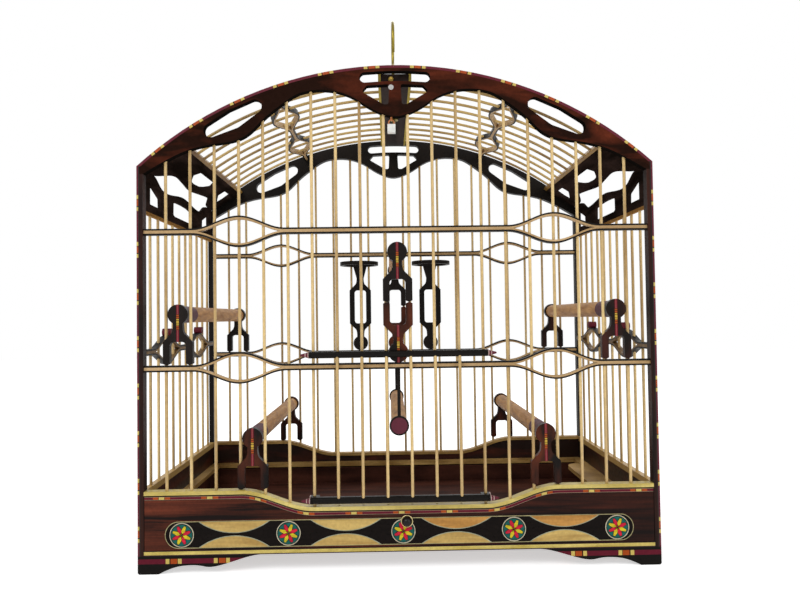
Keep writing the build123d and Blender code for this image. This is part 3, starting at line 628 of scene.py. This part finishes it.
def fork_finish(name, fork_x, head_up, light, *names):
    finish = Finish(name, 0.4, 0.0, 0.1)
    low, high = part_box(names[0])
    side = finish.sum("ABSOLUTE", finish.sum("SUBTRACT", finish.sum("ABSOLUTE", finish.x), fork_x))
    inlay = finish.sum("LESS_THAN", side, inlay_side)
    middle_line = finish.sum("LESS_THAN", side, middle_side)
    in_front = finish.sum("LESS_THAN", finish.y, low.y + 2 * hair)
    if head_up:
        from_head = finish.sum("SUBTRACT", high.z, finish.z)
    else:
        from_head = finish.sum("SUBTRACT", finish.z, low.z)
    apart = finish.sum("ABSOLUTE", finish.sum("SUBTRACT", from_head, inlay_half))
    share = finish.sum("DIVIDE", apart, inlay_half)
    warm = finish.mix(finish.sum("GREATER_THAN", share, warm_share), hexa("b8963a"), hexa("a0481c"))
    in_cell = finish.sum("FRACT", finish.sum("DIVIDE", apart, cell_length))
    cells = finish.mix(finish.sum("GREATER_THAN", in_cell, cell_fill), warm, black)
    stripes = finish.mix(middle_line, hexa("701728"), hexa("7e4640"))
    cells = finish.mix(finish.sum("GREATER_THAN", share, stripe_share), cells, stripes)
    wood = finish.grain(hexa("100b09"), light, (1, 1, 0.3), 60, 0.4, 0.75)
    finish.colour(finish.mix(finish.sum("MULTIPLY", inlay, in_front), wood, cells))
    dress(finish, *names)


# %% [markdown]
# The forks come in three woods: black, brown and red. Of the two pairs in the middle, the higher one
# has its round head up and is black, and the lower one has its head down and is red.

# %% Forks
upper_x = 0.18
lower_x = 0.12
fork_black = hexa("1f1916")
fork_red = hexa("5c2a17")
fork_brown = hexa("43211a")
fork_finish("left upper forks", upper_x, True, fork_black, "upper_forks_left")
fork_finish("right upper forks", upper_x, True, fork_brown, "upper_forks_right")
fork_finish("lower forks", lower_x, True, fork_red, "lower_forks_left", "lower_forks_right")
swing_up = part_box("swing_forks")[0].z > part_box("centre_forks")[0].z
fork_finish("swing forks", 0.0, swing_up, fork_black if swing_up else fork_red, "swing_forks")
fork_finish("centre forks", 0.0, not swing_up, fork_red if swing_up else fork_black, "centre_forks")
print("swing forks on top", swing_up)

# %% [markdown]
# The door's two rails are black rods with pointed tips of dark red and thin pale rings. The rings
# repeat along x, beyond the point where the tip starts, on the left and right alike.

# %% Door rails
tip_start = 0.0722
tip_period = 0.008
tip_dark = hexa("5c2430")
tip_pale = hexa("a88e88")
door_black = Finish("door rails", 0.3, 0.0, 0.08)
from_tip = door_black.sum("SUBTRACT", door_black.sum("ABSOLUTE", door_black.x), tip_start)
tip = door_black.sum("GREATER_THAN", from_tip, 0.0)
tip_stops = [(0.0, black), (0.1, tip_pale), (0.2, tip_dark), (0.4, tip_pale), (0.5, tip_dark)]
door_black.colour(door_black.mix(tip, black, door_black.bands(from_tip, tip_period, tip_stops)))
dress(door_black, "door_rails")

# %% [markdown]
# The hook is brass wire. Under the arch hang a white tag on a copper loop, and higher up sit a steel
# eye and a brass pin. They are tiny and one node, so four colours are told apart by their height.

# %% Metal
tag_height = 0.0066
eye_z = 0.385
pin_z = 0.3995
brass = Finish("brass wire", 0.3)
brass.shader.inputs["Metallic"].default_value = 1.0
brass.veneer("8a7a35", (1, 1, 1))
dress(brass, "hook")

fittings = Finish("small fittings", 0.35)
tinted = hexa("cdcdc8")
tag_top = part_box("arch_fittings")[0].z + tag_height
for low_z, code in ((tag_top, "b06a3a"), (eye_z, "a8a8a4"), (pin_z, "c9a548")):
    tinted = fittings.mix(fittings.sum("GREATER_THAN", fittings.z, low_z), tinted, hexa(code))
fittings.colour(tinted)
dress(fittings, "arch_fittings")

# %% [markdown]
# The drawer front has a curved top, and a thin marquetry line follows it. The line could be a bent
# strip of its own, but it lies flush in the wood. So the finish repeats the curve of that edge, and
# knows at every point how far below the edge it is.

# %% Edge of the drawer front
base_top = 0.066
base_dip = 0.0145
dip_in = 0.070
dip_out = 0.130
drawer_drop = 0.0036
drawer_wood = Finish("drawer wood", 0.35, 0.0, 0.08)
from_middle = drawer_wood.sum("ABSOLUTE", drawer_wood.x)
run_in = drawer_wood.sum("DIVIDE", drawer_wood.sum("SUBTRACT", from_middle, dip_in), dip_out - dip_in)
run_in = drawer_wood.sum("MAXIMUM", drawer_wood.sum("MINIMUM", run_in, 1.0), 0.0)
swell = drawer_wood.sum("ADD", drawer_wood.sum("COSINE", drawer_wood.sum("MULTIPLY", run_in, pi)), 1.0)
dip = drawer_wood.sum("MULTIPLY", swell, base_dip / 2)
edge = drawer_wood.sum("SUBTRACT", base_top - drawer_drop, dip)
below = drawer_wood.sum("SUBTRACT", edge, drawer_wood.z)
print("edge falls in mm", 1000 * base_dip)

# %% [markdown]
# Just below the edge lies a black veneer, in it a brown one, and in that the line of orange and cream
# groups. Each is a band of the distance below the edge, and the inner ones cover the outer. The
# board itself is rosewood, which drifts from red on the left to dark on the right: partly the wood's
# own tone, partly a painted sheen of light on the left.

# %% Wood and line of the drawer front
line_group = [(orange, 0.0042), (black, 0.0005), (cream, 0.0044), (black, 0.0005), (orange, 0.0042)]
pattern_shift = 0.0009
veneer_end = 0.0034
trim_low = 0.0005
trim_high = 0.003
core_low = 0.0008
core_high = 0.0027
# Slope of the red-to-dark drift across the board, which is partly a painted sheen on the left.
sheen_drift = 2.4
strip_middle = drawer_wood.sum("ABSOLUTE", drawer_wood.sum("SUBTRACT", drawer_wood.x, pattern_shift))
strip_run = drawer_wood.sum("ADD", strip_middle, base_period / 2)
strip_pattern = drawer_wood.bands(strip_run, base_period, middle_group(line_group, base_period))
# Partly painted sheen: the grain's light tone turns from red on the left to dark on the right.
sheen_share = drawer_wood.sum("ADD", drawer_wood.sum("MULTIPLY", drawer_wood.x, sheen_drift), 0.5)
streak = drawer_wood.mix(sheen_share, hexa("6b3220"), hexa("35170f"))
field = drawer_wood.grain(hexa("130a08"), streak, (0.12, 1, 2.6), 70, 0.38, 0.72)
edged = drawer_wood.mix(drawer_wood.sum("LESS_THAN", below, veneer_end), field, black)
trim = drawer_wood.between(below, trim_low, trim_high)
lined = drawer_wood.mix(trim, edged, hexa("8d7660"))
core = drawer_wood.between(below, core_low, core_high)
drawer_wood.colour(drawer_wood.mix(core, lined, strip_pattern))
dress(drawer_wood, "drawer_front")

# %% [markdown]
# Inlays are thin flat pieces let into the wood. They could be painted by masks as well, but their
# edges would be less crisp, and as pieces each wood can be used again. Each one starts as a disc,
# which can be stretched, cut with a plane or spread into a band. A whole set becomes one piece, with
# a hair of thickness that grows by level, so that the upper woods cover the lower ones.

# %% Helper for inlays
drawer_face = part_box("drawer_front")[0].y
skin = 0.00012
print("inlay level in mm", 1000 * skin)


def add_piece(name, finish, shape):
    data = bpy.data.meshes.new(name)
    shape.to_mesh(data)
    shape.free()
    data.materials.append(finish.material)
    piece = bpy.data.objects.new(name, data)
    bpy.context.scene.collection.objects.link(piece)
    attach(piece, "drawer")
    print(name, len(data.polygons), "faces")
    return piece


def inlay_piece(name, finish, shapes, level):
    whole = bmesh.new()
    for shape in shapes:
        part = bpy.data.meshes.new("part")
        shape.to_mesh(part)
        shape.free()
        whole.from_mesh(part)
        bpy.data.meshes.remove(part)
    lifted = bmesh.ops.extrude_face_region(whole, geom=whole.faces[:])
    moved = [item for item in lifted["geom"] if isinstance(item, bmesh.types.BMVert)]
    bmesh.ops.translate(whole, verts=moved, vec=(0, 0, skin * level))
    bmesh.ops.rotate(whole, verts=whole.verts, cent=(0, 0, 0), matrix=Matrix.Rotation(pi / 2, 3, "X"))
    bmesh.ops.translate(whole, verts=whole.verts, vec=(0, drawer_face, 0))
    bmesh.ops.recalc_face_normals(whole, faces=whole.faces)
    add_piece(name, finish, whole)


# %% [markdown]
# Three outlines are enough for the whole front: a disc that may be stretched and turned, a band
# with round ends, and a half lens, which is what one straight cut leaves of a large disc.

# %% Outlines
lens_corners = 160
band_corners = 48
print("corners of a lens disc", lens_corners)


def disc(x, z, radius_x, radius_z=None, turn=0.0, segments=32):
    shape = bmesh.new()
    bmesh.ops.create_circle(shape, cap_ends=True, segments=segments, radius=1.0)
    bmesh.ops.scale(shape, verts=shape.verts, vec=(radius_x, radius_z or radius_x, 1))
    bmesh.ops.rotate(shape, verts=shape.verts, cent=(0, 0, 0), matrix=Matrix.Rotation(turn, 3, "Z"))
    bmesh.ops.translate(shape, verts=shape.verts, vec=(x, z, 0))
    return shape


def band(x_low, x_high, z_low, z_high):
    radius = (z_high - z_low) / 2
    shape = disc(0, 0, radius, segments=band_corners)
    for vert in shape.verts:
        vert.co.x += (x_high - radius) if vert.co.x > 0 else (x_low + radius)
        vert.co.y += z_low + radius
    return shape


def half_lens(x, z, length, height, up):
    radius = (length ** 2 / 4 + height ** 2) / (2 * height)
    shape = disc(0, 0, radius, segments=lens_corners)
    cut = radius - height
    bmesh.ops.bisect_plane(
        shape, geom=shape.verts[:] + shape.edges[:] + shape.faces[:],
        plane_co=(0, cut, 0), plane_no=(0, 1, 0), clear_inner=True,
    )
    bmesh.ops.translate(shape, verts=shape.verts, vec=(0, -cut, 0))
    if not up:
        bmesh.ops.scale(shape, verts=shape.verts, vec=(1, -1, 1))
    bmesh.ops.translate(shape, verts=shape.verts, vec=(x, z, 0))
    return shape


# %% [markdown]
# A black band with round ends runs across the drawer front inside a thin cream line. The line is a
# slightly larger band that lies one level lower.

# %% Black band
def plain(name, code, shine=0.1):
    finish = Finish(name, 0.3, 0.0, shine)
    finish.veneer(code)
    return finish


band_low = 0.0209
band_high = 0.0413
band_left = -0.190
band_right = 0.1895
line = 0.0006
cream_wood = plain("cream line", "a39a70")
field_wood = plain("band black", "120d0b", 0.05)
outline = band(band_left - line, band_right + line, band_low - line, band_high + line)
inlay_piece("band_line", cream_wood, [outline], 1)
inlay_piece("band_field", field_wood, [band(band_left, band_right, band_low, band_high)], 2)

# %% [markdown]
# Four pairs of half lenses lie in the band with their flat sides against its edges. The two at the
# upper right are a warmer wood. Each has a thin grey edge, again a larger lens one level lower.

# %% Half lenses
lens_x = [-0.1347, -0.0445, 0.0453, 0.1334]
lens_length = 0.0548
lens_height = 0.0086
lens_grain = (0.3, 1, 3)
lens_wood = Finish("half lens", 0.4, 0.05, 0.2)
lens_wood.colour(lens_wood.grain(hexa("9c7c40"), hexa("c2a560"), lens_grain))
lens_orange = Finish("warm half lens", 0.4, 0.05, 0.2)
lens_orange.colour(lens_orange.grain(hexa("93662a"), hexa("bd8a44"), lens_grain))
lens_edge = plain("half lens edge", "9a9c84")
edges = []
pale_lenses = []
warm_lenses = []
for x in lens_x:
    for foot_z, up in ((band_high, False), (band_low, True)):
        group = warm_lenses if x > 0 and not up else pale_lenses
        group.append(half_lens(x, foot_z, lens_length, lens_height, up))
        edges.append(half_lens(x, foot_z, lens_length + 4 * line, lens_height + line, up))
inlay_piece("half_lens_edges", lens_edge, edges, 3)
inlay_piece("pale_half_lenses", lens_wood, pale_lenses, 4)
inlay_piece("warm_half_lenses", lens_orange, warm_lenses, 4)

# %% [markdown]
# Five rosettes sit between the lenses: a pale ring, a dark ring, a teal ground and a star of eight
# petals, crimson and yellow by turns. The rings are stacked discs, and a petal is a disc of six
# corners, stretched and turned. A larger black petal under each one draws its dark edge.

# %% Rosettes
rosette_z = 0.0311
rosette_x = [-0.177, -0.091, 0.002, 0.092, 0.1765]
petal_count = 8
petal_place = 0.0041
petal_length = 0.0039
petal_width = 0.0015
petal_line = 0.0004
teal_wood = plain("rosette ground", "145852")
crimson_wood = plain("crimson petals", "bd1d34")
lemon_wood = plain("yellow petals", "c4b224")
ring_wood = plain("rosette ring", "b9b39a")
layers = (("rosette_rings", ring_wood, 0.0098), ("rosette_dark_rings", field_wood, 0.0091),
          ("rosette_grounds", teal_wood, 0.0085))
for level, (name, finish, radius) in enumerate(layers, 4):
    inlay_piece(name, finish, [disc(x, rosette_z, radius) for x in rosette_x], level)


def petal(x, step, grow):
    turn = 2 * pi * step / petal_count + pi / petal_count
    petal_x = x + petal_place * cos(turn)
    petal_z = rosette_z + petal_place * sin(turn)
    return disc(petal_x, petal_z, petal_length + grow, petal_width + grow, turn, segments=6)


for start, finish, name in ((0, crimson_wood, "crimson_petals"), (1, lemon_wood, "yellow_petals")):
    steps = range(start, petal_count, 2)
    inlay_piece(name, finish, [petal(x, step, 0) for x in rosette_x for step in steps], 8)
all_steps = [*range(0, petal_count, 2), *range(1, petal_count, 2)]
rims = [petal(x, step, petal_line) for x in rosette_x for step in all_steps]
inlay_piece("petal_edges", field_wood, rims, 7)

# %% [markdown]
# The knob is a small black ball in a thin brass ring. The solid is a flatter turned knob, so the
# ball replaces it in the same place, and the solid stays for collision. The ring is a small circle
# of wire, spun once round the knob's axis.

# %% Drawer knob
ring_wire = 0.0005
knob_low, knob_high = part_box("drawer_knob")
knob_radius = (knob_high.x - knob_low.x) / 2
knob_x = (knob_low.x + knob_high.x) / 2
knob_z = (knob_low.z + knob_high.z) / 2


def knob_piece(name, finish, shape, place_y):
    bmesh.ops.translate(shape, verts=shape.verts, vec=(knob_x, place_y, knob_z))
    bmesh.ops.recalc_face_normals(shape, faces=shape.faces)
    for face in shape.faces:
        face.smooth = True
    return add_piece(name, finish, shape)


knob_wood = Finish("knob lacquer", 0.15, 0.0, 0.2)
knob_wood.veneer("120f0d", (1, 1, 1))
ball = bmesh.new()
bmesh.ops.create_uvsphere(ball, u_segments=32, v_segments=20, radius=knob_radius)
knob = knob_piece("knob_ball", knob_wood, ball, knob_low.y + knob_radius)
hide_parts("drawer_knob")

ring_brass = Finish("knob ring brass", 0.25)
ring_brass.shader.inputs["Metallic"].default_value = 1.0
ring_brass.veneer("d8c690", (1, 1, 1))
hoop = bmesh.new()
bmesh.ops.create_circle(hoop, segments=10, radius=ring_wire)
bmesh.ops.translate(hoop, verts=hoop.verts, vec=(knob_radius + ring_wire, 0, 0))
circle = hoop.verts[:] + hoop.edges[:]
bmesh.ops.spin(hoop, geom=circle, cent=(0, 0, 0), axis=(0, 1, 0), angle=2 * pi, steps=40, use_merge=True)
bmesh.ops.remove_doubles(hoop, verts=hoop.verts, dist=0.00001)
knob_piece("knob_ring", ring_brass, hoop, drawer_face - ring_wire)

# %% [markdown]
# Last, the number of finishes is printed.

# %% Count of finishes
print("finishes", len(finishes))
